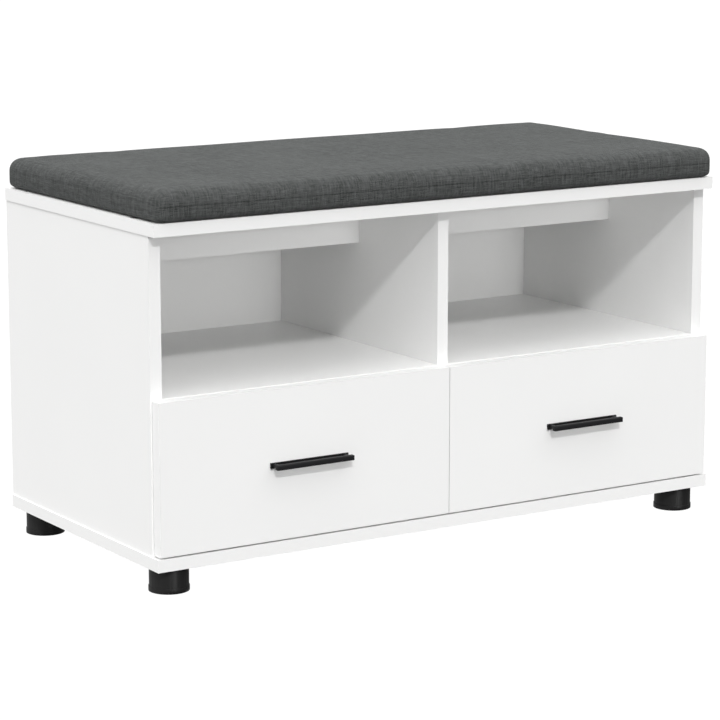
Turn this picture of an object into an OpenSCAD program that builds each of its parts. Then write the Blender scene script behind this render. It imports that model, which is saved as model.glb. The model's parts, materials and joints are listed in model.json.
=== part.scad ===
// Entryway bench: a coated-board carcass with two open compartments over two
// drawers, four round feet and a loose seat cushion.
// Origin: on the floor, under the middle of the bench. +X to the right seen
// from the front, -Y towards the front, +Z up. Drawers shown closed.

/* [Carcass] */
// Length of the top and bottom boards
bench_w = 800; // [760:10:1000]
// Depth of the top and bottom boards
bench_d = 380; // [380:5:450]
// Height from the underside of the bottom board to the top of the top board
carcass_h = 400; // [370:5:500]
// Thickness of the carcass boards and of the drawer fronts
board_t = 15; // [15:1:18]
// Thickness of the back panel
back_t = 3; // [2.5:0.5:5]
// How far the side panels stand in from the ends of the top board
side_inset = 1.5; // [0:0.5:4]
// Clear height between the bottom board and the shelves
drawer_bay_h = 168; // [150:2:190]
// Height of the rails under the top board
rail_h = 60; // [50:5:80]

/* [Drawers] */
// Gap between a drawer front and the carcass edge behind it
front_back_gap = 1; // [0.5:0.5:2]
// Distance from a drawer front to the end of the bottom board
front_side_inset = 3.5; // [2:0.5:6]
// Gap between the two drawer fronts
front_middle_gap = 1; // [1:0.5:5]
// Gap between a drawer front and the bottom board
front_bottom_gap = 2; // [1:0.5:5]
// How far a drawer front's top edge stays below the shelf's top face
front_top_drop = 1; // [0:0.5:3]
// Thickness of the drawer sides and back
drawer_side_t = 12; // [12:1:14]
// Height of the drawer sides
drawer_side_h = 120; // [90:5:120]
// Length of the drawer sides and of the runners
runner_l = 350; // [300:50:350]
// Thickness of the drawer bottom
drawer_bottom_t = 3; // [3:0.5:4]

/* [Handles] */
// Length of a handle
handle_l = 106; // [104:2:140]
// Spacing of the handle's two screws
handle_pitch = 96; // [64:32:96]
// Height of the grip bar and of its back plate
handle_h = 6.6; // [6:0.2:9]
// How far the grip bar stands out from the drawer front
handle_reach = 17; // [15:0.5:30]

/* [Feet] */
// Height of a foot
foot_h = 30; // [25:1:60]
// Diameter of a foot
foot_d = 46.5; // [40:0.5:55]
// Distance from a foot's axis to the edges of the bottom board
foot_inset = 30; // [28:1:60]

/* [Cushion] */
// Height of the cushion
cushion_h = 40; // [30:2:60]
// Gap from the cushion to the ends of the top board
cushion_inset = 2; // [0:0.5:10]
// How far the cushion's front bulges past the top board
cushion_bulge = 6; // [0:0.5:8]
// Radius of the cushion's upright corners
cushion_corner_r = 16; // [14:1:40]
// Radius of the cushion's long edges
cushion_edge_r = 12; // [6:1:14]
// Thickness of the cushion's cover
cover_t = 1.2; // [1:0.1:2]

/* [Hidden] */
$fn = 48;

LEFT = -1;
RIGHT = 1;
SIDES = [LEFT, RIGHT];
FRONT = -1;
BACK = 1;
ENDS = [FRONT, BACK];
eps = 0.05;         // overrun of every cut
fit_gap = 0.05;     // radial play of pins, bolts and cams in their holes

// Carcass planes
total_d = bench_d + back_t + handle_reach;
front_y = handle_reach - total_d / 2;                 // faces of drawer fronts, edges of the boards
carcass_y = front_y + board_t + front_back_gap;       // front edges of panels and shelves
back_y = front_y + bench_d;                           // rear edges of all the boards
base_z = foot_h;                                      // underside of the bottom board
floor_z = base_z + board_t;                           // top of the bottom board
top_z = base_z + carcass_h;                           // top of the top board
ceiling_z = top_z - board_t;                          // underside of the top board
shelf_z = floor_z + drawer_bay_h;                     // underside of the shelves
side_in_x = bench_w / 2 - side_inset - board_t;       // inner faces of the side panels
side_mid_x = side_in_x + board_t / 2;
bay_w = side_in_x - board_t / 2;                      // clear width of a compartment
bay_x = board_t / 2 + bay_w / 2;                      // middle of the right compartment
rail_mid_y = (carcass_y + back_y) / 2;
rail_mid_z = ceiling_z - rail_h / 2;

// Where the carcass joints sit along the depth and along the rail's height
screw_ys = [carcass_y + 45, back_y - 45];
dowel_ys = [carcass_y + 90, back_y - 90];
upright_xs = [-side_mid_x, 0, side_mid_x];
rail_bolt_z = rail_mid_z + 12;
rail_dowel_z = rail_mid_z - 14;
shelf_mid_z = shelf_z + board_t / 2;

// Fasteners
screw_head_r = 5;
screw_head_h = 4;
screw_shank_r = 3;
screw_l = 50;
hex_key_r = 2.3;
hex_key_depth = 3;
hole_end_gap = 1;         // left beyond the tip of a screw or bolt
dowel_r = 4;
dowel_depth = 11;         // depth of a dowel in the face of a board
dowel_out = 19;           // length of a dowel in the end of a board
cam_r = 7.4;
cam_h = 12;
cam_offset = 24;          // from a board's end to the cam's centre
cam_mouth_play = 0.5;     // between a cam's mouth and the bolt's head
cam_slot_w = 1.6;         // screwdriver cross in a cam's face
cam_slot_l = 0.7;         // its length over the cam's diameter
cam_slot_depth = 2;
bolt_thread_r = 2.5;
bolt_thread_l = 11;
bolt_shank_r = 3.5;
bolt_shank_l = 17;
bolt_neck_r = 2;
bolt_head_r = 3.2;
bolt_head_l = 3;
wood_screw_r = 1.6;
wood_screw_play = 0.3;    // radial, in sheet metal and drawer sides
wood_screw_head_r = 3.2;
wood_screw_head_h = 1.3;
wood_screw_head_taper = 0.8;
nail_r = 0.7;
nail_l = 20;
nail_head_r = 1.6;
nail_head_h = 0.5;

// Drawers
front_w = (bench_w - 2 * front_side_inset - front_middle_gap) / 2;
front_x = (front_w + front_middle_gap) / 2;           // middle of the right drawer front
front_z = floor_z + front_bottom_gap;
front_h = shelf_z + board_t - front_top_drop - front_z;
front_mid_z = front_z + front_h / 2;
front_in_y = front_y + board_t;                       // rear face of the drawer fronts
runner_space = 12.5;                                  // between a drawer side and a panel
drawer_w = bay_w - 2 * runner_space;
drawer_z = floor_z + 17;                              // lower edges of the drawer sides
drawer_back_y = front_in_y + runner_l;
groove_z = drawer_z + 9;                              // underside of the drawer bottom
groove_in = 5;                                        // depth of the drawer bottom's grooves
groove_end_gap = 1;                                   // between the drawer bottom and the grooves' ends
groove_face_gap = 0.1;                                // over and under it
drawer_cam_r = 5.9;
drawer_cam_h = 10;
drawer_cam_zs = [drawer_z + 32, drawer_z + drawer_side_h - 24];
back_screw_zs = [drawer_z + 40, drawer_z + drawer_side_h - 25];

// Runners, measured from the carcass panel's face and from channel_z up
sheet_t = 1.2;
channel_d = 9.8;                                      // reach of the channel's flanges
roller_r = 9.5;
roller_w = 6;
roller_play = 0.3;                                    // between a roller and its tracks
channel_h = 2 * roller_r + 2 * roller_play + 0.4 + 2 * sheet_t;
channel_z = drawer_z - 2;
track_z = channel_z + channel_h + 0.8;                // underside of the drawer runner's track
axle_r = 2.5;
axle_l = roller_w + 1.2;
axle_head_r = 4;
axle_head_l = 0.8;
bay_roller_y = carcass_y + 16;
bay_roller_z = track_z - roller_play - roller_r;
drawer_roller_y = drawer_back_y - 14;
drawer_roller_z = channel_z + sheet_t + roller_play + roller_r;
drawer_travel = runner_l - 90;                        // how far the drawers open
stop_h = 3;                                           // tab that stops the drawer's roller
stop_reach = 6.6;                                     // from the roller's centre to the tab it meets
stop_y = drawer_roller_y - drawer_travel - stop_reach;
runner_screw_ys = [carcass_y + 60, carcass_y + 190, carcass_y + 300];
channel_screw_z = channel_z + channel_h / 2;
runner_screw_z = drawer_z + 5;
bay_runner_y = carcass_y + 2;                         // front ends of the channels
roller_clear = 3;                                     // between the front roller and the channel's flanges
track_edge_x = 2;                                     // from a panel to the edge of the drawer runner's track
drawer_runner_l = runner_l - 1;
ledge_w = 0.8 * drawer_side_t;                        // runner's ledge under a drawer side
roller_bore_play = 0.08;
roller_round = 0.8;
roller_gap = 0.6;                                     // between a roller and its runner's web

// Handles
handle_plate_t = 2.5;
handle_bar_t = 6.5;
handle_post_r = 2.8;
handle_end_r = 2;
handle_hole_r = 2.3;
handle_screw_r = 1.9;
handle_screw_bite = 9;    // depth of the screw's hole in the handle's post
handle_screw_head_r = 4;
handle_screw_head_taper = 0.8;
handle_screw_head_h = 2.4;
handle_slot_l = 4.4;      // screwdriver cross in the screw's head
handle_slot_w = 0.8;
handle_slot_depth = 1.2;

// Feet
foot_ring_d = foot_d + 1.5;
foot_ring_h = 6;
foot_wall = 2.5;
foot_plate_t = 5;
foot_boss_r = 7;
foot_boss_wall = 2;
foot_rib_t = 1.8;
foot_rib_z = 3;           // lower edges of the ribs and the boss
foot_screw_play = 0.4;
foot_screw_l = 17;

// Back panel and cushion
back_panel_inset = 1;     // from the carcass's outer faces
slit_h = 1;               // of the zip's slit in the cover

// A box centred on x, from y0 to y1 and z0 to z1
module board(x, w, y0, y1, z0, z1)
    translate([x - w / 2, y0, z0]) cube([w, y1 - y0, z1 - z0]);

// Rectangle with rounded corners, centred on the origin
module rounded_rect(w, h, r) {
    square([w - 2 * r, h], center = true);
    square([w, h - 2 * r], center = true);
    for (x = SIDES, y = SIDES)
        translate([x * (w / 2 - r), y * (h / 2 - r)]) circle(r = r);
}

// Block centred on the origin, its upright edges rounded to corner_r and all the others to edge_r
module rounded_block(w, d, h, corner_r, edge_r) {
    intersection() {
        linear_extrude(h, center = true) rounded_rect(w, d, corner_r);
        rotate([90, 0, 0]) linear_extrude(d, center = true) rounded_rect(w, h, edge_r);
        rotate([90, 0, 90]) linear_extrude(w, center = true) rounded_rect(d, h, edge_r);
    }
}

// A solid turned about X or Y instead of Z, with its base at the given point
module along_x(at, dir = 1) translate(at) rotate([0, 90 * dir, 0]) children();
module along_y(at, dir = 1) translate(at) rotate([-90 * dir, 0, 0]) children();

// Fasteners -----------------------------------------------------------------

// Countersunk furniture screw, head flush at z = 0, pointing down
module furniture_screw() {
    difference() {
        union() {
            translate([0, 0, -screw_head_h])
                cylinder(r1 = screw_shank_r, r2 = screw_head_r, h = screw_head_h);
            translate([0, 0, -screw_l]) cylinder(r = screw_shank_r, h = screw_l - screw_head_h);
        }
        translate([0, 0, -hex_key_depth]) cylinder(r = hex_key_r, h = hex_key_depth + eps, $fn = 6);
    }
}

module furniture_screw_hole() {
    translate([0, 0, -screw_head_h])
        cylinder(r1 = screw_shank_r + fit_gap, r2 = screw_head_r + fit_gap, h = screw_head_h);
    cylinder(r = screw_head_r + fit_gap, h = eps);
    translate([0, 0, -screw_l - hole_end_gap])
        cylinder(r = screw_shank_r + fit_gap, h = screw_l + hole_end_gap);
}

// Every place with a furniture screw: through the top board, and through the bottom board
module at_carcass_screws()
    for (x = upright_xs, y = screw_ys) {
        translate([x, y, top_z]) children();
        translate([x, y, base_z]) rotate([180, 0, 0]) children();
    }

// Plain dowel from z = -a to z = b
module dowel(a, b, play = 0)
    translate([0, 0, -a - play]) cylinder(r = dowel_r + play, h = a + b + 2 * play);

// All the dowels, or with play their holes
module all_dowels(play = 0) {
    for (x = upright_xs, y = dowel_ys) {
        translate([x, y, ceiling_z]) dowel(dowel_out, dowel_depth, play);
        translate([x, y, floor_z]) dowel(dowel_depth, dowel_out, play);
    }
    for (p = [[dowel_ys[0], shelf_mid_z], [dowel_ys[1], shelf_mid_z], [rail_mid_y, rail_dowel_z]]) {
        along_x([0, p[0], p[1]]) dowel(dowel_out + board_t / 2, dowel_out + board_t / 2, play);
        for (s = SIDES)
            along_x([s * side_in_x, p[0], p[1]], s) dowel(dowel_out, dowel_depth, play);
    }
}

// Profile of a cam bolt outside its thread: shank, neck and ball-like head
function bolt_points(play) = [
    [0, 0],
    [bolt_shank_r + play, 0],
    [bolt_shank_r + play, bolt_shank_l],
    [bolt_neck_r + play, bolt_shank_l],
    [bolt_neck_r + play, cam_offset - bolt_head_l / 2],
    [bolt_head_r + play, cam_offset - bolt_head_l / 2],
    [bolt_head_r + play, cam_offset + bolt_head_l / 2],
    [0, cam_offset + bolt_head_l / 2]
];

module bolt_end() rotate_extrude() polygon(bolt_points(0));

// Cam bolt: thread in a board's face below z = 0, head in the cam above it
module cam_bolt() {
    translate([0, 0, -bolt_thread_l]) cylinder(r = bolt_thread_r, h = bolt_thread_l + eps);
    bolt_end();
}

// Pilot hole for a cam bolt's thread in a board's face
module cam_bolt_hole()
    translate([0, 0, -bolt_thread_l - fit_gap])
        cylinder(r = bolt_thread_r + fit_gap, h = bolt_thread_l + 2 * fit_gap);

// Cut for a cross-point screwdriver, from z = 0 down
module driver_cross(l, w, depth)
    for (size = [[l, w], [w, l]])
        board(0, size[0], -size[1] / 2, size[1] / 2, -depth, eps);

// Cam with its open mouth towards -X, face up at z = 0, for a bolt at the given depth
module cam(r, h, bolt_depth) {
    difference() {
        translate([0, 0, -h]) cylinder(r = r, h = h);
        along_x([-r - eps, 0, -bolt_depth])
            cylinder(r = bolt_head_r + cam_mouth_play, h = r + bolt_head_l);
        driver_cross(2 * r * cam_slot_l, cam_slot_w, cam_slot_depth);
    }
}

// Wood screw with a pan head above z = 0
module wood_screw(l) {
    translate([0, 0, -l]) cylinder(r = wood_screw_r, h = l);
    cylinder(r1 = wood_screw_head_r, r2 = wood_screw_head_r - wood_screw_head_taper, h = wood_screw_head_h);
}

// Places of the cam bolts on the uprights, as [y, z]: the shelf's, then the rail's
bolt_places = [for (y = screw_ys) [y, shelf_mid_z], [rail_mid_y, rail_bolt_z]];

// Bolts and pilot holes in the side panels
module side_bolts(s)
    for (p = bolt_places)
        along_x([s * side_in_x, p[0], p[1]], -s) children();

// Carcass boards ------------------------------------------------------------

module top_board() {
    color("white") difference() {
        board(0, bench_w, front_y, back_y, ceiling_z, top_z);
        at_carcass_screws() furniture_screw_hole();
        all_dowels(fit_gap);
    }
}

module bottom_board() {
    color("white") difference() {
        board(0, bench_w, front_y, back_y, base_z, floor_z);
        at_carcass_screws() furniture_screw_hole();
        all_dowels(fit_gap);
    }
}

module side_panel(s) {
    color("white") difference() {
        board(s * side_mid_x, board_t, carcass_y, back_y, floor_z, ceiling_z);
        at_carcass_screws() furniture_screw_hole();
        all_dowels(fit_gap);
        side_bolts(s) cam_bolt_hole();
    }
}

module centre_divider() {
    color("white") difference() {
        board(0, board_t, carcass_y, back_y, floor_z, ceiling_z);
        at_carcass_screws() furniture_screw_hole();
        all_dowels(fit_gap);
        for (p = bolt_places)
            along_x([-board_t, p[0], p[1]]) cylinder(r = dowel_r, h = 2 * board_t);
    }
}

// Shelf or rail of one bay, with the cams' round pockets cut by its children
module bay_board(s, y0, y1, z0, z1) {
    color("white") difference() {
        board(s * bay_x, bay_w, y0, y1, z0, z1);
        all_dowels(fit_gap);
        children();
    }
}

module shelf(s) {
    bay_board(s, carcass_y, back_y, shelf_z, shelf_z + board_t)
        for (e = SIDES, y = screw_ys) {
            translate([s * bay_x + e * (bay_w / 2 - cam_offset), y, shelf_z - eps])
                cylinder(r = cam_r + fit_gap, h = cam_h + eps + fit_gap);
            along_x([s * bay_x + e * (bay_w / 2 + eps), y, shelf_mid_z], -e)
                cylinder(r = dowel_r, h = cam_offset);
        }
}

module rail(s) {
    y0 = rail_mid_y - board_t / 2;
    y1 = rail_mid_y + board_t / 2;
    bay_board(s, y0, y1, rail_mid_z - rail_h / 2, rail_mid_z + rail_h / 2)
        for (e = SIDES) {
            along_y([s * bay_x + e * (bay_w / 2 - cam_offset), y1 + eps, rail_bolt_z], -1)
                cylinder(r = cam_r + fit_gap, h = cam_h + eps + fit_gap);
            along_x([s * bay_x + e * (bay_w / 2 + eps), rail_mid_y, rail_bolt_z], -e)
                cylinder(r = dowel_r, h = cam_offset);
        }
}

module back_panel()
    color("whitesmoke")
        board(0, bench_w - 2 * (side_inset + back_panel_inset), back_y, back_y + back_t,
              base_z + back_panel_inset, top_z - back_panel_inset);

// Carcass fasteners ---------------------------------------------------------

// Nails round the back panel, down the divider and along the shelves
module back_panel_nails() {
    zs = [base_z + 40, base_z + 120, base_z + 200, base_z + 280, top_z - 40];
    xs = [for (s = SIDES, f = [0.25, 0.5, 0.75]) s * f * side_mid_x];
    rows = [floor_z - board_t / 2, shelf_mid_z, ceiling_z + board_t / 2];
    points = concat([for (x = upright_xs, z = zs) [x, z]], [for (x = xs, z = rows) [x, z]]);
    color("silver") for (p = points)
        along_y([p[0], back_y + back_t, p[1]]) {
            translate([0, 0, -nail_l]) cylinder(r = nail_r, h = nail_l);
            translate([0, 0, -nail_head_h]) cylinder(r = nail_head_r, h = nail_head_h);
        }
}

module carcass_screws() color("silver") at_carcass_screws() furniture_screw();

module dowels() color("burlywood") all_dowels();

module cam_bolts() color("silver") for (s = SIDES) side_bolts(s) cam_bolt();

module double_cam_bolts() {
    color("silver") for (p = bolt_places) {
        along_x([-board_t / 2, p[0], p[1]]) cylinder(r = bolt_shank_r, h = board_t);
        for (s = SIDES)
            along_x([s * board_t / 2, p[0], p[1]], s) bolt_end();
    }
}

module cam_locks() {
    color("silver") for (s = SIDES, e = SIDES) {
        x = s * bay_x + e * (bay_w / 2 - cam_offset);
        for (y = screw_ys)
            translate([x, y, shelf_z]) rotate([180, 0, e == RIGHT ? 180 : 0]) cam(cam_r, cam_h, board_t / 2);
        along_y([x, rail_mid_y + board_t / 2, rail_bolt_z])
            rotate([0, 0, e == RIGHT ? 180 : 0]) cam(cam_r, cam_h, board_t / 2);
    }
}

// Feet ----------------------------------------------------------------------

// Moulded foot, hollow below its top plate, with a boss for its screw and four ribs
module foot(sx, sy) {
    rib_h = foot_h - foot_plate_t - foot_rib_z;
    rib_l = foot_d - foot_wall;
    color([0.1, 0.1, 0.1]) at_foot(sx, sy) difference() {
        union() {
            difference() {
                union() {
                    cylinder(r = foot_d / 2, h = foot_h);
                    cylinder(r = foot_ring_d / 2, h = foot_ring_h);
                }
                translate([0, 0, -eps]) cylinder(r = foot_d / 2 - foot_wall, h = foot_h - foot_plate_t + eps);
            }
            translate([0, 0, foot_rib_z]) {
                cylinder(r = foot_boss_r, h = rib_h);
                for (a = [0, 90])
                    rotate([0, 0, a]) translate([-rib_l / 2, -foot_rib_t / 2, 0])
                        cube([rib_l, foot_rib_t, rib_h]);
            }
        }
        translate([0, 0, -eps]) cylinder(r = foot_boss_r - foot_boss_wall, h = foot_h - foot_plate_t);
        cylinder(r = wood_screw_r + foot_screw_play, h = foot_h + eps);
    }
}

module at_foot(sx, sy) {
    y = sy == FRONT ? front_y + foot_inset : back_y - foot_inset;
    translate([sx * (bench_w / 2 - foot_inset), y, 0]) children();
}

module foot_screws()
    color("silver") for (sx = SIDES, sy = ENDS)
        at_foot(sx, sy) translate([0, 0, foot_h - foot_plate_t - eps]) rotate([180, 0, 0])
            wood_screw(foot_screw_l);

// Runners -------------------------------------------------------------------

// Places something built beside the panel at x = 0, facing +X, at one side of a bay
module at_bay_side(s, e)
    translate([s * bay_x + e * bay_w / 2, 0, 0]) mirror([e == RIGHT ? 1 : 0, 0, 0]) children();

// Axle riveted to a runner's web, with a head that keeps the roller on
module roller_axle() {
    cylinder(r = axle_r, h = axle_l);
    translate([0, 0, axle_l]) cylinder(r = axle_head_r, h = axle_head_l);
}

// Channel on the carcass panel, its upper flange cut short behind the front roller
module bay_runner(s, e) {
    y0 = bay_runner_y;
    cut_y = bay_roller_y + roller_r + roller_clear;
    color("gainsboro") at_bay_side(s, e) {
        difference() {
            translate([0, y0, channel_z]) cube([channel_d, runner_l, channel_h]);
            translate([sheet_t, y0 - eps, channel_z + sheet_t])
                cube([channel_d, runner_l + 2 * eps, channel_h - 2 * sheet_t]);
            translate([sheet_t, y0 - eps, channel_z - eps])
                cube([channel_d, cut_y - y0, channel_h + 2 * eps]);
            for (y = runner_screw_ys)
                along_x([-eps, y, channel_screw_z])
                    cylinder(r = wood_screw_r + wood_screw_play, h = sheet_t + 2 * eps);
        }
        translate([0, y0 + runner_l - sheet_t, channel_z]) cube([channel_d, sheet_t, channel_h]);
        translate([0, stop_y - sheet_t, channel_z + channel_h - sheet_t - stop_h])
            cube([channel_d, sheet_t, stop_h + sheet_t / 2]);
        along_x([sheet_t - eps, bay_roller_y, bay_roller_z]) roller_axle();
    }
}

// Angle under and beside the drawer side, with a track that rides on the front roller
module drawer_runner(s, e) {
    y0 = drawer_back_y - drawer_runner_l;
    web_x = runner_space - sheet_t;
    web_z = drawer_z - sheet_t;
    color("gainsboro") at_bay_side(s, e) {
        difference() {
            union() {
                translate([web_x, y0, web_z]) cube([sheet_t, drawer_runner_l, track_z + sheet_t - web_z]);
                translate([web_x, y0, web_z]) cube([ledge_w, drawer_runner_l, sheet_t]);
                translate([track_edge_x, y0, track_z])
                    cube([web_x - track_edge_x + eps, drawer_runner_l, sheet_t]);
            }
            for (y = runner_screw_ys)
                along_x([web_x - eps, y, runner_screw_z])
                    cylinder(r = wood_screw_r + wood_screw_play, h = sheet_t + 2 * eps);
        }
        along_x([web_x + eps, drawer_roller_y, drawer_roller_z], -1) roller_axle();
    }
}

// Nylon wheel with a rounded tread and a running fit on its axle, base at z = 0
module roller() {
    rotate_extrude() polygon([
        [axle_r + roller_bore_play, 0],
        [roller_r - roller_round, 0],
        [roller_r, roller_round],
        [roller_r, roller_w - roller_round],
        [roller_r - roller_round, roller_w],
        [axle_r + roller_bore_play, roller_w]
    ]);
}

module bay_rollers(s)
    color("ivory") for (e = SIDES)
        at_bay_side(s, e) along_x([sheet_t + roller_gap, bay_roller_y, bay_roller_z]) roller();

module drawer_rollers(s)
    color("ivory") for (e = SIDES)
        at_bay_side(s, e)
            along_x([runner_space - sheet_t - roller_gap, drawer_roller_y, drawer_roller_z], -1)
                roller();

module cabinet_runner_screws()
    color("silver") for (s = SIDES, e = SIDES, y = runner_screw_ys)
        at_bay_side(s, e) along_x([sheet_t, y, channel_screw_z]) wood_screw(board_t / 2);

module drawer_runner_screws(s)
    color("silver") for (e = SIDES, y = runner_screw_ys)
        at_bay_side(s, e) along_x([runner_space - sheet_t, y, runner_screw_z], -1) wood_screw(10);

// Drawers -------------------------------------------------------------------

// Places something built at a drawer side's inner face, x = 0, side body towards -X
module at_drawer_side(s, e)
    translate([s * bay_x + e * (drawer_w / 2 - drawer_side_t), 0, 0])
        mirror([e == RIGHT ? 1 : 0, 0, 0]) children();

// Bolts that stand out of the drawer front's rear face, in the middle of the sides
module at_drawer_bolts(s)
    for (e = SIDES, z = drawer_cam_zs)
        along_y([s * bay_x + e * (drawer_w - drawer_side_t) / 2, front_in_y, z]) children();

// The drawer bottom, or with its gaps the grooves it slides into
module bottom_sheet(s, end_gap = 0, face_gap = 0) {
    reach = groove_in - groove_end_gap + end_gap;
    board(s * bay_x, drawer_w - 2 * (drawer_side_t - reach),
          front_in_y - reach, drawer_back_y - drawer_side_t + reach,
          groove_z - face_gap, groove_z + drawer_bottom_t + face_gap);
}

module bottom_grooves(s) bottom_sheet(s, groove_end_gap, groove_face_gap);

module drawer_front(s) {
    color("white") difference() {
        board(s * front_x, front_w, front_y, front_in_y, front_z, front_z + front_h);
        bottom_grooves(s);
        at_drawer_bolts(s) cam_bolt_hole();
        at_handle_screws(s) translate([0, 0, -eps]) cylinder(r = handle_hole_r, h = board_t + 2 * eps);
    }
}

module drawer_side(s, e) {
    mid = drawer_side_t / 2;
    color("white") difference() {
        board(s * bay_x + e * (drawer_w - drawer_side_t) / 2, drawer_side_t,
              front_in_y, drawer_back_y, drawer_z, drawer_z + drawer_side_h);
        bottom_grooves(s);
        for (z = drawer_cam_zs) {
            at_drawer_side(s, e) along_x([eps, front_in_y + cam_offset, z], -1)
                cylinder(r = drawer_cam_r + fit_gap, h = drawer_cam_h + eps + fit_gap);
        }
        at_drawer_bolts(s) translate([0, 0, -eps]) cylinder(r = dowel_r - 0.2, h = cam_offset);
        for (z = back_screw_zs)
            at_drawer_side(s, e) along_x([-drawer_side_t - eps, drawer_back_y - mid, z])
                cylinder(r = wood_screw_r + wood_screw_play, h = drawer_side_t + 2 * eps);
    }
}

module drawer_back(s) {
    color("white") difference() {
        board(s * bay_x, drawer_w - 2 * drawer_side_t, drawer_back_y - drawer_side_t, drawer_back_y,
              drawer_z, drawer_z + drawer_side_h);
        bottom_grooves(s);
    }
}

module drawer_bottom(s) color("whitesmoke") bottom_sheet(s);

module drawer_cams(s)
    color("silver") for (e = SIDES, z = drawer_cam_zs)
        at_drawer_side(s, e) along_x([0, front_in_y + cam_offset, z])
            rotate([0, 0, 90]) cam(drawer_cam_r, drawer_cam_h, drawer_side_t / 2);

module drawer_cam_bolts(s) color("silver") at_drawer_bolts(s) cam_bolt();

module drawer_screws(s)
    color("silver") for (e = SIDES, z = back_screw_zs)
        at_drawer_side(s, e)
            along_x([-drawer_side_t, drawer_back_y - drawer_side_t / 2, z], -1) wood_screw(35);

// Handles -------------------------------------------------------------------

// Holes and screws of a handle: z = 0 at the front's rear face, pointing forwards
module at_handle_screws(s)
    for (e = SIDES)
        along_y([s * front_x + e * handle_pitch / 2, front_in_y, front_mid_z], -1) children();

// Bar with rounded ends and edges on two round posts
module handle_grip(s) {
    bar_mid_y = front_y - handle_reach + handle_bar_t / 2;
    post_l = handle_reach - handle_plate_t - handle_bar_t;
    color([0.12, 0.12, 0.12]) difference() {
        union() {
            translate([s * front_x, bar_mid_y, front_mid_z])
                rounded_block(handle_l, handle_bar_t, handle_h, handle_end_r, handle_end_r);
            at_handle_screws(s) translate([0, 0, board_t + handle_plate_t])
                cylinder(r = handle_post_r, h = post_l + 1);
        }
        at_handle_screws(s) translate([0, 0, board_t])
            cylinder(r = handle_screw_r + fit_gap, h = handle_plate_t + handle_screw_bite);
    }
}

module handle_plate(s) {
    color([0.12, 0.12, 0.12]) difference() {
        board(s * front_x, handle_l, front_y - handle_plate_t, front_y,
              front_mid_z - handle_h / 2, front_mid_z + handle_h / 2);
        at_handle_screws(s) translate([0, 0, board_t - eps])
            cylinder(r = handle_hole_r, h = handle_plate_t + 2 * eps);
    }
}

// Machine screws with pan heads inside the drawer
module handle_screws(s) {
    color("silver") at_handle_screws(s) {
        cylinder(r = handle_screw_r, h = board_t + handle_plate_t + handle_screw_bite - hole_end_gap);
        rotate([180, 0, 0]) difference() {
            cylinder(r1 = handle_screw_head_r, r2 = handle_screw_head_r - handle_screw_head_taper,
                     h = handle_screw_head_h);
            translate([0, 0, handle_screw_head_h])
                driver_cross(handle_slot_l, handle_slot_w, handle_slot_depth);
        }
    }
}

// Cushion -------------------------------------------------------------------

// The cushion's outline, drawn in by the given amount on every side
module cushion_block(in) {
    w = bench_w - 2 * (cushion_inset + in);
    d = bench_d + back_t + cushion_bulge - 2 * in;
    h = cushion_h - 2 * in;
    translate([0, (back_y + back_t + front_y - cushion_bulge) / 2, top_z + cushion_h / 2])
        rounded_block(w, d, h, cushion_corner_r - in, cushion_edge_r - in);
}

module cushion_foam() color("khaki") cushion_block(cover_t);

// Shell round the foam, slit along the back where its zip is
module cushion_cover() {
    slit_z = top_z + cushion_h / 2;
    color([0.3, 0.32, 0.32]) difference() {
        cushion_block(0);
        cushion_block(cover_t);
        board(0, bench_w / 2, back_y, back_y + back_t + eps, slit_z, slit_z + slit_h);
    }
}

top_board();
bottom_board();
side_panel(LEFT);  // left_side_panel
side_panel(RIGHT);  // right_side_panel
centre_divider();
shelf(LEFT);  // left_shelf
shelf(RIGHT);  // right_shelf
rail(LEFT);  // left_rail
rail(RIGHT);  // right_rail
back_panel();
back_panel_nails();
carcass_screws();
dowels();
cam_bolts();
double_cam_bolts();
cam_locks();
foot(LEFT, FRONT);  // front_left_foot
foot(RIGHT, FRONT);  // front_right_foot
foot(LEFT, BACK);  // back_left_foot
foot(RIGHT, BACK);  // back_right_foot
foot_screws();
bay_runner(LEFT, LEFT);  // left_bay_left_runner
bay_runner(LEFT, RIGHT);  // left_bay_right_runner
bay_runner(RIGHT, LEFT);  // right_bay_left_runner
bay_runner(RIGHT, RIGHT);  // right_bay_right_runner
cabinet_runner_screws();
bay_rollers(LEFT);  // left_bay_rollers
bay_rollers(RIGHT);  // right_bay_rollers
drawer_front(LEFT);  // left_drawer_front
drawer_side(LEFT, LEFT);  // left_drawer_left_side
drawer_side(LEFT, RIGHT);  // left_drawer_right_side
drawer_back(LEFT);  // left_drawer_back
drawer_bottom(LEFT);  // left_drawer_bottom
drawer_cams(LEFT);  // left_drawer_cams
drawer_cam_bolts(LEFT);  // left_drawer_cam_bolts
drawer_screws(LEFT);  // left_drawer_screws
drawer_runner(LEFT, LEFT);  // left_drawer_left_runner
drawer_runner(LEFT, RIGHT);  // left_drawer_right_runner
drawer_rollers(LEFT);  // left_drawer_rollers
drawer_runner_screws(LEFT);  // left_drawer_runner_screws
handle_grip(LEFT);  // left_handle_grip
handle_plate(LEFT);  // left_handle_plate
handle_screws(LEFT);  // left_handle_screws
drawer_front(RIGHT);  // right_drawer_front
drawer_side(RIGHT, LEFT);  // right_drawer_left_side
drawer_side(RIGHT, RIGHT);  // right_drawer_right_side
drawer_back(RIGHT);  // right_drawer_back
drawer_bottom(RIGHT);  // right_drawer_bottom
drawer_cams(RIGHT);  // right_drawer_cams
drawer_cam_bolts(RIGHT);  // right_drawer_cam_bolts
drawer_screws(RIGHT);  // right_drawer_screws
drawer_runner(RIGHT, LEFT);  // right_drawer_left_runner
drawer_runner(RIGHT, RIGHT);  // right_drawer_right_runner
drawer_rollers(RIGHT);  // right_drawer_rollers
drawer_runner_screws(RIGHT);  // right_drawer_runner_screws
handle_grip(RIGHT);  // right_handle_grip
handle_plate(RIGHT);  // right_handle_plate
handle_screws(RIGHT);  // right_handle_screws
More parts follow.
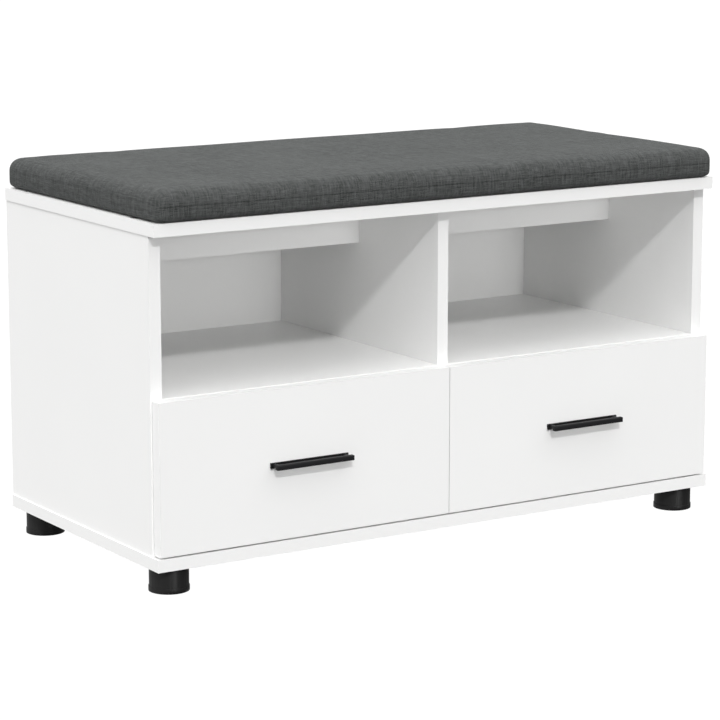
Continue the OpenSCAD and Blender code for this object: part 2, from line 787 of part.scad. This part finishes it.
cushion_foam();
cushion_cover();
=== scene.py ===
"""The entryway bench's looks: finishes for its boards, metal, plastic and wood, and a seat cushion.

The cushion is a padded block whose woven cover is settled by a simulation. Lengths are in metres.
"""

import json
import math

import bmesh
import bpy
from mathutils import Matrix, Vector, noise


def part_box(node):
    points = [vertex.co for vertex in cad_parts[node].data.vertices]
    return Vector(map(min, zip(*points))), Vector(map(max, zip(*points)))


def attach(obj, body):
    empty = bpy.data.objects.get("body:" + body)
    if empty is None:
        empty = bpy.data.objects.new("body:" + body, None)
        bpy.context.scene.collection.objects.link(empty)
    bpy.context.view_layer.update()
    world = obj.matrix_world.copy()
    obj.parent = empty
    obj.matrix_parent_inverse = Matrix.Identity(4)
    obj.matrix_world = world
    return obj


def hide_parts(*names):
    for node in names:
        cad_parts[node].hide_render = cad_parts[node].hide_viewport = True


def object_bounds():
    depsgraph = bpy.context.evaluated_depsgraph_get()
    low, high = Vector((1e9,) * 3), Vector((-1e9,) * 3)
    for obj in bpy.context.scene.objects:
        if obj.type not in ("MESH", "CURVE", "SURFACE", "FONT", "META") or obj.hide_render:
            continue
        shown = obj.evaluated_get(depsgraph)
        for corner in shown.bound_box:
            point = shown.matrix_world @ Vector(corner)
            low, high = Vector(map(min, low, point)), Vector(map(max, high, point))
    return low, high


MM = 0.001

# Camera: where it aims, from the middle of the bench, and how it is turned
AIM = Vector((-0.011, 0.0, -0.0276))
CAMERA_TURN = math.radians(32.585)
CAMERA_TILT = math.radians(10.859)
CAMERA_DISTANCE = 3.489
CAMERA_LENS = 139.25
CAMERA_SENSOR = 36
CAMERA_FAR = 200

# Lamps: turn from the front towards the left, height, softness (all in degrees) and strength
LAMPS = {
    "key": (25, 35.3, 4, 1.10),
    "front": (0, 10, 5, 0.30),
    "front_fill": (0, 3, 20, 0.50),
}
# How bright the studio's sides are: right, behind and above; then left, in front and below
SKY_RIGHT_BACK_TOP = (0.3, 0.6, 2.3)
SKY_LEFT_FRONT_FLOOR = (0.9, 0.0, 0.1)
STAGE_SIZE = 80.0
STAGE_HEIGHT = 20.0
STAGE_GAP = 0.2 * MM

# Boards
BOARD_EDGE_R = 0.4 * MM
BAND_T = 0.9 * MM
BAND_JOINT_R = 0.12 * MM

# Cushion: its shape, then the cloth's simulation, then the weave
CORNER_R = 15 * MM
TOP_EDGE_R = 15 * MM
BOTTOM_EDGE_R = 6 * MM
CROWN = 1.2 * MM
CROWN_FLATNESS = 4          # the higher, the flatter the middle
UNEVENNESS = 0.5 * MM
UNEVEN_SPOTS_PER_M = 9.0
SEAT_GAP = 0.2 * MM         # between the cushion and the board
CELL = 6 * MM
EDGE_CELLS = 4
SLACK = 1.0 * MM            # how much smaller the cover starts
SWELL_CAP = 2.2 * MM
CLOTH_FRAMES = 20
CLOTH_PRESSURE = 4.0
YARN_PITCH = 1.05 * MM
SLUB_SHORTNESS = 0.08       # changes of a thread's tone along one pitch
SLUB_SHARE = 0.7            # the rest of its tone is steady from end to end
YARN_SHARE = 0.75           # the rest of the cloth's tone is its fibres
HEAVY_THREAD_R = 0.6 * MM
HEAVY_THREAD_SHADE = 0.14

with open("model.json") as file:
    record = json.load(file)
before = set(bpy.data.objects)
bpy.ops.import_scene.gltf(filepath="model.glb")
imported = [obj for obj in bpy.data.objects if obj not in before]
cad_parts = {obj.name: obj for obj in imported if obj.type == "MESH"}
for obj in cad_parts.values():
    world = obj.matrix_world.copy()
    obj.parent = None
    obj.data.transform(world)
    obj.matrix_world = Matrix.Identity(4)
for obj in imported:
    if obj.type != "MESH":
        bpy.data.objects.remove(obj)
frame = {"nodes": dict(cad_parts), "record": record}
cad_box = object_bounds()


# Shader nodes ---------------------------------------------------------------


class NodeTree:
    """Short calls that add and join shader nodes."""

    def __init__(self, owner):
        owner.use_nodes = True
        self.nodes = owner.node_tree.nodes
        self.links = owner.node_tree.links

    def feed(self, socket, value):
        if isinstance(value, bpy.types.NodeSocket):
            self.links.new(value, socket)
        else:
            socket.default_value = value

    def add(self, kind, inputs=(), **settings):
        node = self.nodes.new(kind)
        for name, value in settings.items():
            setattr(node, name, value)
        for name, value in dict(inputs).items():
            self.feed(node.inputs[name], value)
        return node

    def math(self, operation, *values):
        return self.add("ShaderNodeMath", enumerate(values), operation=operation).outputs[0]

    def vector_math(self, operation, first, second, output="Vector"):
        node = self.add("ShaderNodeVectorMath", enumerate((first, second)), operation=operation)
        return node.outputs[output]


class Finish(NodeTree):
    """A material, with short calls for what the finishes have in common."""

    def __init__(self, name, colour, roughness, metallic=0.0):
        self.material = bpy.data.materials.new(name)
        super().__init__(self.material)
        self.shader = self.nodes["Principled BSDF"]
        self.set("Base Color", (*colour, 1))
        self.set("Roughness", roughness)
        self.set("Metallic", metallic)
        self.place = self.add("ShaderNodeTexCoord").outputs["Object"]

    def set(self, name, value):
        self.feed(self.shader.inputs[name], value)

    def noise(self, scale, detail=2.0, place=None):
        inputs = {"Vector": place or self.place, "Scale": scale, "Detail": detail}
        return self.add("ShaderNodeTexNoise", inputs).outputs[0]

    def spread(self, value, low, high, lowest=0.3, highest=0.7):
        """Takes the usual spread of a noise to low..high."""
        inputs = enumerate((value, lowest, highest, low, high))
        return self.add("ShaderNodeMapRange", inputs).outputs[0]

    def mix(self, amount, first, second):
        """Colour between two others, each given as three numbers or as a socket."""
        inputs = {0: amount}
        for index, colour in ((6, first), (7, second)):
            inputs[index] = (*colour, 1) if isinstance(colour, tuple) else colour
        return self.add("ShaderNodeMix", inputs, data_type="RGBA").outputs[2]

    def point(self, x, y, z=0.0):
        return self.add("ShaderNodeCombineXYZ", enumerate((x, y, z))).outputs[0]

    def bump(self, height, distance, strength=1.0):
        inputs = {"Height": height, "Distance": distance, "Strength": strength}
        self.set("Normal", self.add("ShaderNodeBump", inputs).outputs[0])


# Finishes -------------------------------------------------------------------


def band_joint(finish, node):
    """1 along the fine line where a board's face meets its edge bands, else 0."""
    low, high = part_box(node)
    middle = (low + high) / 2
    half = (high - low) / 2
    thin = min(range(3), key=lambda axis: half[axis])
    where = finish.add("ShaderNodeSeparateXYZ", {"Vector": finish.place}).outputs
    to_edge = None
    for axis in range(3):
        if axis == thin:
            continue
        off_middle = finish.math("ABSOLUTE", finish.math("SUBTRACT", where[axis], middle[axis]))
        distance = finish.math("SUBTRACT", half[axis], off_middle)
        to_edge = distance if to_edge is None else finish.math("MINIMUM", to_edge, distance)
    return finish.math("COMPARE", to_edge, BAND_T, BAND_JOINT_R)


def coated_board(node):
    """White melamine-faced chipboard: satin, finely pebbled, with a hairline at each edge band."""
    finish = Finish(f"coated_board_{node}", (0.84, 0.84, 0.84), 0.42)
    joint = band_joint(finish, node)
    cloud = finish.spread(finish.noise(7.0), 0.0, 1.0)
    tone = finish.mix(cloud, (0.925, 0.925, 0.919), (0.935, 0.935, 0.929))
    finish.set("Base Color", finish.mix(joint, tone, (0.84, 0.84, 0.83)))
    pebble = finish.noise(1400.0, 3.0)
    finish.set("Roughness", finish.spread(pebble, 0.38, 0.47))
    finish.bump(finish.math("SUBTRACT", pebble, joint), 0.02 * MM, 0.6)
    finish.set("Specular IOR Level", 0.35)
    return finish.material


def hardboard():
    """White lacquered hardboard, with the felted press of its fibres just showing."""
    finish = Finish("white_hardboard", (0.8, 0.8, 0.79), 0.55)
    cloud = finish.spread(finish.noise(11.0, 4.0), 0.0, 1.0)
    finish.set("Base Color", finish.mix(cloud, (0.92, 0.92, 0.913), (0.935, 0.935, 0.928)))
    fibres = finish.noise(900.0, 5.0)
    finish.set("Roughness", finish.spread(fibres, 0.48, 0.62))
    finish.bump(fibres, 0.04 * MM, 0.5)
    return finish.material


def beech():
    """Turned beech with fine dark pores along the grain."""
    finish = Finish("beech", (0.6, 0.4, 0.22), 0.6)
    inputs = {"Vector": finish.place, "Scale": (900.0, 900.0, 60.0)}
    stretched = finish.add("ShaderNodeMapping", inputs).outputs[0]
    grain = finish.noise(1.0, 4.0, stretched)
    finish.set("Base Color", finish.mix(grain, (0.45, 0.27, 0.13), (0.7, 0.5, 0.3)))
    finish.bump(grain, 0.05 * MM, 0.5)
    return finish.material


def plated_steel():
    """Bright zinc plating over steel, a little cloudy."""
    finish = Finish("plated_steel", (0.62, 0.62, 0.64), 0.32, metallic=1.0)
    cloud = finish.noise(260.0, 4.0)
    finish.set("Base Color", finish.mix(cloud, (0.5, 0.5, 0.51), (0.72, 0.72, 0.74)))
    finish.set("Roughness", finish.spread(cloud, 0.24, 0.42))
    finish.bump(finish.noise(2600.0, 3.0), 0.01 * MM, 0.6)
    return finish.material


def cast_zinc():
    """Die-cast zinc with the dull, grainy skin of a cam lock."""
    finish = Finish("cast_zinc", (0.45, 0.45, 0.46), 0.48, metallic=1.0)
    grain = finish.noise(1500.0, 4.0)
    finish.set("Base Color", finish.mix(grain, (0.36, 0.36, 0.37), (0.55, 0.55, 0.56)))
    finish.set("Roughness", finish.spread(grain, 0.4, 0.58))
    finish.bump(grain, 0.03 * MM, 0.7)
    return finish.material


def coated_steel():
    """White powder-coated sheet steel."""
    finish = Finish("white_coated_steel", (0.8, 0.8, 0.79), 0.4)
    peel = finish.noise(900.0, 2.0)
    finish.set("Base Color", finish.mix(peel, (0.78, 0.78, 0.77), (0.83, 0.83, 0.82)))
    finish.set("Roughness", finish.spread(peel, 0.34, 0.46))
    finish.bump(peel, 0.03 * MM, 0.7)
    return finish.material


def nylon():
    """Milky nylon, slightly translucent, with faint turning marks."""
    finish = Finish("nylon", (0.75, 0.74, 0.68), 0.38)
    cloud = finish.noise(400.0, 3.0)
    finish.set("Base Color", finish.mix(cloud, (0.72, 0.71, 0.65), (0.79, 0.78, 0.73)))
    finish.set("Subsurface Weight", 0.15)
    finish.set("Subsurface Radius", (1 * MM, 0.9 * MM, 0.7 * MM))
    finish.bump(finish.noise(1800.0), 0.01 * MM, 0.5)
    return finish.material


def black_coated_metal():
    """Matt black powder coat with a fine sandy texture."""
    finish = Finish("black_coated_metal", (0.02, 0.02, 0.021), 0.5)
    sand = finish.noise(2200.0, 3.0)
    finish.set("Base Color", finish.mix(sand, (0.007, 0.007, 0.008), (0.017, 0.017, 0.018)))
    finish.set("Roughness", finish.spread(sand, 0.42, 0.6))
    finish.set("Specular IOR Level", 0.18)
    finish.bump(sand, 0.05 * MM, 0.7)
    return finish.material


def black_plastic():
    """Moulded black plastic with a spark-eroded grain."""
    finish = Finish("black_plastic", (0.018, 0.018, 0.018), 0.42)
    grain = finish.noise(1300.0, 3.0)
    finish.set("Base Color", finish.mix(grain, (0.006, 0.006, 0.006), (0.014, 0.014, 0.014)))
    finish.set("Roughness", finish.spread(grain, 0.36, 0.52))
    finish.set("Specular IOR Level", 0.22)
    finish.bump(grain, 0.04 * MM, 0.6)
    return finish.material


def thread_tone(finish, thread, along, seed):
    """Brightness of a slubby yarn, from its number and the place along it in yarn widths."""
    steady = finish.add("ShaderNodeTexWhiteNoise", {"W": thread}, noise_dimensions="1D").outputs[0]
    slow = finish.math("MULTIPLY", along, SLUB_SHORTNESS)
    apart = finish.math("MULTIPLY", thread, 7.31)
    slub = finish.noise(1.0, 3.0, finish.point(slow, apart, seed))
    slub = finish.spread(slub, 0.0, 1.0, 0.34, 0.66)
    slub = finish.math("MULTIPLY", slub, SLUB_SHARE)
    return finish.math("ADD", slub, finish.math("MULTIPLY", steady, 1 - SLUB_SHARE))


def woven_fabric(heavy_thread):
    """Plain-woven melange upholstery cloth with slubs both ways, drawn in the cloth's own metres.

    A heavier, darker thread runs at the given distance in front of and behind the cloth's middle.
    """
    finish = Finish("woven_fabric", (0.08, 0.085, 0.085), 0.9)
    cloth = finish.add("ShaderNodeUVMap", uv_map="weave").outputs[0]
    where = finish.add("ShaderNodeSeparateXYZ", {"Vector": cloth}).outputs
    across = finish.math("DIVIDE", where[0], YARN_PITCH)
    along = finish.math("DIVIDE", where[1], YARN_PITCH)
    warp_thread = finish.math("FLOOR", across)
    weft_thread = finish.math("FLOOR", along)
    warp = thread_tone(finish, warp_thread, along, 0.0)
    weft = thread_tone(finish, weft_thread, across, 40.0)

    crossing = finish.math("ADD", warp_thread, weft_thread)
    weft_on_top = finish.math("FLOORED_MODULO", crossing, 2.0)
    difference = finish.math("MULTIPLY", weft_on_top, finish.math("SUBTRACT", weft, warp))
    yarn = finish.math("ADD", warp, difference)
    fibres = finish.noise(2.2, 3.0, finish.point(across, along))
    fibre_tone = finish.math("MULTIPLY", fibres, 1 - YARN_SHARE)
    tone = finish.math("ADD", finish.math("MULTIPLY", yarn, YARN_SHARE), fibre_tone)
    cloud = finish.spread(finish.noise(9.0, 3.0), -0.03, 0.03)
    tone = finish.math("ADD", tone, cloud)
    off_heavy = finish.math("SUBTRACT", finish.math("ABSOLUTE", where[1]), heavy_thread)
    heavy = finish.math("COMPARE", off_heavy, 0.0, HEAVY_THREAD_R)
    tone = finish.math("SUBTRACT", tone, finish.math("MULTIPLY", heavy, HEAVY_THREAD_SHADE))
    tone = finish.spread(tone, 0.0, 1.0, 0.15, 0.85)
    finish.set("Base Color", finish.mix(tone, (0.023, 0.025, 0.024), (0.118, 0.123, 0.121)))

    round_warp = finish.math("SINE", finish.math("MULTIPLY", finish.math("FRACT", across), math.pi))
    round_weft = finish.math("SINE", finish.math("MULTIPLY", finish.math("FRACT", along), math.pi))
    height = finish.math("MULTIPLY", round_warp, round_weft)
    height = finish.math("ADD", height, finish.math("MULTIPLY", yarn, 0.6))
    height = finish.math("ADD", height, finish.math("MULTIPLY", fibres, 0.5))
    finish.bump(height, 0.25 * MM, 0.8)
    finish.set("Sheen Weight", 0.05)
    finish.set("Sheen Roughness", 0.45)
    finish.set("Sheen Tint", (0.8, 0.85, 0.85, 1))
    finish.set("Specular IOR Level", 0.2)
    return finish.material


def plain_paper():
    """Pale seamless paper, lit evenly enough to stay plain."""
    finish = Finish("plain_paper", (0.0, 0.0, 0.0), 1.0)
    mottle = finish.noise(3.0)
    finish.set("Emission Color", finish.mix(mottle, (1.0, 1.0, 1.0), (1.02, 1.02, 1.02)))
    finish.set("Emission Strength", 1.0)
    return finish.material


# CAD nodes ------------------------------------------------------------------

# Finish and edge radius of every material slot but the boards' own
SLOT_FINISHES = {
    "white_hardboard": (hardboard(), 0.2 * MM),
    "beech": (beech(), 0.0),
    "zinc_steel": (plated_steel(), 0.0),
    "zinc": (cast_zinc(), 0.0),
    "white_steel": (coated_steel(), 0.15 * MM),
    "nylon": (nylon(), 0.2 * MM),
    "black_metal": (black_coated_metal(), 0.3 * MM),
    "black_plastic": (black_plastic(), 0.5 * MM),
}


def soften(shown, width):
    """Breaks the sharp edges of a CAD node, so that they catch light as real ones do."""
    weld = shown.modifiers.new("weld", "WELD")
    weld.merge_threshold = 0.01 * MM
    bevel = shown.modifiers.new("bevel", "BEVEL")
    bevel.width = width
    bevel.segments = 2
    bevel.limit_method = "ANGLE"
    bevel.angle_limit = math.radians(30)
    bevel.harden_normals = True


def dress_cad_nodes():
    for part in frame["record"]["subparts"]:
        node = part["node"]
        slot = part["material_slot"]
        if slot == "white_board":
            material, edge = coated_board(node), BOARD_EDGE_R
        elif slot in SLOT_FINISHES:
            material, edge = SLOT_FINISHES[slot]
        else:
            continue
        shown = frame["nodes"][node]
        shown.data.materials.clear()
        shown.data.materials.append(material)
        if edge:
            soften(shown, edge)


# Cushion --------------------------------------------------------------------


def grid_lines(half, radius):
    """Places of the grid lines from -half to half, closer together where the edge is rounded."""
    middle = half - radius
    cells = round(2 * middle / CELL)
    flat = [-middle + 2 * middle * i / cells for i in range(cells + 1)]
    rounded = [middle + radius * (i + 1) / EDGE_CELLS for i in range(EDGE_CELLS)]
    return [-x for x in reversed(rounded)] + flat + rounded


def box_faces(bm, xs, ys, zs):
    """Grid of cells over the six faces of a box; its "weave" map is the cloth unfolded from the top."""
    weave = bm.loops.layers.uv.new("weave")
    corners = {}

    def corner(x, y, z):
        if (x, y, z) not in corners:
            corners[x, y, z] = bm.verts.new((x, y, z))
        return corners[x, y, z]

    def cover(us, vs, place, on_cloth):
        for u0, u1 in zip(us, us[1:]):
            for v0, v1 in zip(vs, vs[1:]):
                cell = [(u0, v0), (u1, v0), (u1, v1), (u0, v1)]
                face = bm.faces.new([corner(*place(u, v)) for u, v in cell])
                face.smooth = True
                for loop, (u, v) in zip(face.loops, cell):
                    loop[weave].uv = on_cloth(u, v)

    x1, y1, z1 = xs[-1], ys[-1], zs[-1]
    cover(xs, ys, lambda u, v: (u, v, z1), lambda u, v: (u, v))
    cover(xs, ys, lambda u, v: (u, v, zs[0]), lambda u, v: (u, v))
    for side in (-1, 1):
        cover(xs, zs, lambda u, v: (u, side * y1, v), lambda u, v: (u, side * (y1 + z1 - v)))
        cover(ys, zs, lambda u, v: (side * x1, u, v), lambda u, v: (side * (x1 + z1 - v), u))
    bmesh.ops.recalc_face_normals(bm, faces=bm.faces)


def rounded_place(point, half):
    """Where a point of the sharp box goes when the box's edges are rounded and its top crowned."""
    radius = Vector((CORNER_R, CORNER_R, TOP_EDGE_R if point.z > 0 else BOTTOM_EDGE_R))
    inner = Vector([max(-h + r, min(h - r, c)) for c, h, r in zip(point, half, radius)])
    out = Vector([(c - i) / r for c, i, r in zip(point, inner, radius)])
    if out.length > 0:
        out *= max(abs(c) for c in out) / out.length
    place = inner + Vector([o * r for o, r in zip(out, radius)])
    crown = CROWN * max(0.0, place.z / half.z)
    for share in (place.x / half.x, place.y / half.y):
        crown *= max(0.0, 1 - share ** CROWN_FLATNESS)
    bump = 0.0
    if place.z > -half.z + BOTTOM_EDGE_R:
        bump = UNEVENNESS * noise.noise(place * UNEVEN_SPOTS_PER_M)
    return place + Vector((0, 0, crown + bump))


def settle(cushion, floor_z):
    """Blows the cover up, with each point kept within the cap and above the board."""
    before = [v.co.copy() for v in cushion.data.vertices]
    cloth = cushion.modifiers.new("cloth", "CLOTH")
    cloth.settings.use_pressure = True
    cloth.settings.uniform_pressure_force = CLOTH_PRESSURE
    cloth.settings.effector_weights.gravity = 0
    cloth.point_cache.frame_end = CLOTH_FRAMES
    for number in range(1, CLOTH_FRAMES + 1):
        bpy.context.scene.frame_set(number)
    shape = cushion.evaluated_get(bpy.context.evaluated_depsgraph_get())
    after = [v.co.copy() for v in shape.data.vertices]
    cushion.modifiers.remove(cloth)
    bpy.context.scene.frame_set(1)
    for vertex, old, new in zip(cushion.data.vertices, before, after):
        move = new - old
        if move.length > 0:
            move *= SWELL_CAP * math.tanh(move.length / SWELL_CAP) / move.length
        vertex.co = old + move
        vertex.co.z = max(vertex.co.z, floor_z)


def fill_box(mesh, low, high):
    """Stretches a mesh to fill a box exactly."""
    corners = [Vector(pick(v.co[i] for v in mesh.vertices) for i in range(3)) for pick in (min, max)]
    size = corners[1] - corners[0]
    for vertex in mesh.vertices:
        share = [(c - start) / length for c, start, length in zip(vertex.co, corners[0], size)]
        vertex.co = [a + (b - a) * part for a, b, part in zip(low, high, share)]


def make_cushion():
    low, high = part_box("cushion_cover")
    half = (high - low) / 2 - Vector((SLACK, SLACK, SLACK + CROWN / 2))
    xs = grid_lines(half.x, CORNER_R)
    ys = grid_lines(half.y, CORNER_R)
    zs = grid_lines(half.z, TOP_EDGE_R)
    bm = bmesh.new()
    box_faces(bm, xs, ys, zs)
    for vertex in bm.verts:
        vertex.co = rounded_place(vertex.co, half)
    mesh = bpy.data.meshes.new("seat_cushion")
    bm.to_mesh(mesh)
    bm.free()
    cushion = bpy.data.objects.new("seat_cushion", mesh)
    bpy.context.scene.collection.objects.link(cushion)
    mesh.materials.append(woven_fabric(ys[-1] + zs[-1]))
    settle(cushion, -half.z)
    fill_box(mesh, low + Vector((0, 0, SEAT_GAP)), high)
    smooth = cushion.modifiers.new("smooth", "SUBSURF")
    smooth.levels = 1
    smooth.render_levels = 1
    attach(cushion, "cushion")
    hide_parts("cushion_cover", "cushion_foam")


# Studio ---------------------------------------------------------------------


def add_camera():
    data = bpy.data.cameras.new("camera")
    data.lens = CAMERA_LENS
    data.sensor_width = CAMERA_SENSOR
    data.clip_end = CAMERA_FAR
    camera = bpy.data.objects.new("camera", data)
    bpy.context.scene.collection.objects.link(camera)
    low, high = (Vector(corner) for corner in cad_box)
    ahead = Vector((
        math.sin(CAMERA_TURN) * math.cos(CAMERA_TILT),
        math.cos(CAMERA_TURN) * math.cos(CAMERA_TILT),
        -math.sin(CAMERA_TILT),
    ))
    camera.location = (low + high) / 2 + AIM - CAMERA_DISTANCE * ahead
    camera.rotation_euler = (math.pi / 2 - CAMERA_TILT, 0, -CAMERA_TURN)
    bpy.context.scene.camera = camera


def add_lamps():
    for name, (turn, height, softness, strength) in LAMPS.items():
        data = bpy.data.lights.new(name, "SUN")
        data.energy = strength
        data.angle = math.radians(softness)
        lamp = bpy.data.objects.new(name, data)
        lamp.rotation_euler = (math.radians(90 - height), 0, -math.radians(turn))
        bpy.context.scene.collection.objects.link(lamp)


def add_sky():
    """A studio whose walls, floor and ceiling are as bright as stated, fading into one another."""
    world = bpy.data.worlds.new("studio")
    sky = NodeTree(world)
    direction = sky.add("ShaderNodeTexCoord").outputs["Generated"]
    shares = []
    for sign, weights in ((1, SKY_RIGHT_BACK_TOP), (-1, SKY_LEFT_FRONT_FLOOR)):
        facing = sky.vector_math("MULTIPLY", direction, (sign, sign, sign))
        facing = sky.vector_math("MAXIMUM", facing, (0, 0, 0))
        square = sky.vector_math("MULTIPLY", facing, facing)
        shares.append(sky.vector_math("DOT_PRODUCT", square, weights, "Value"))
    background = sky.nodes["Background"].inputs
    sky.feed(background["Color"], (1, 1, 1, 1))
    sky.feed(background["Strength"], sky.math("ADD", *shares))
    bpy.context.scene.world = world


def add_stage():
    """Floor and backdrop in one: they are only seen, and the lamps and the sky do the lighting."""
    bm = bmesh.new()
    bmesh.ops.create_cube(bm, size=1)
    top = [face for face in bm.faces if face.normal.z > 0.5]
    bmesh.ops.delete(bm, geom=top, context="FACES")
    mesh = bpy.data.meshes.new("stage")
    bm.to_mesh(mesh)
    bm.free()
    mesh.transform(Matrix.Diagonal((STAGE_SIZE, STAGE_SIZE, STAGE_HEIGHT, 1)))
    stage = bpy.data.objects.new("stage", mesh)
    stage.location.z = cad_box[0][2] - STAGE_GAP + STAGE_HEIGHT / 2
    mesh.materials.append(plain_paper())
    bpy.context.scene.collection.objects.link(stage)
    stage.visible_diffuse = False
    stage.visible_glossy = False
    stage.visible_shadow = False


dress_cad_nodes()
make_cushion()
add_camera()
add_lamps()
add_sky()
add_stage()
bpy.context.scene.view_settings.view_transform = "Standard"
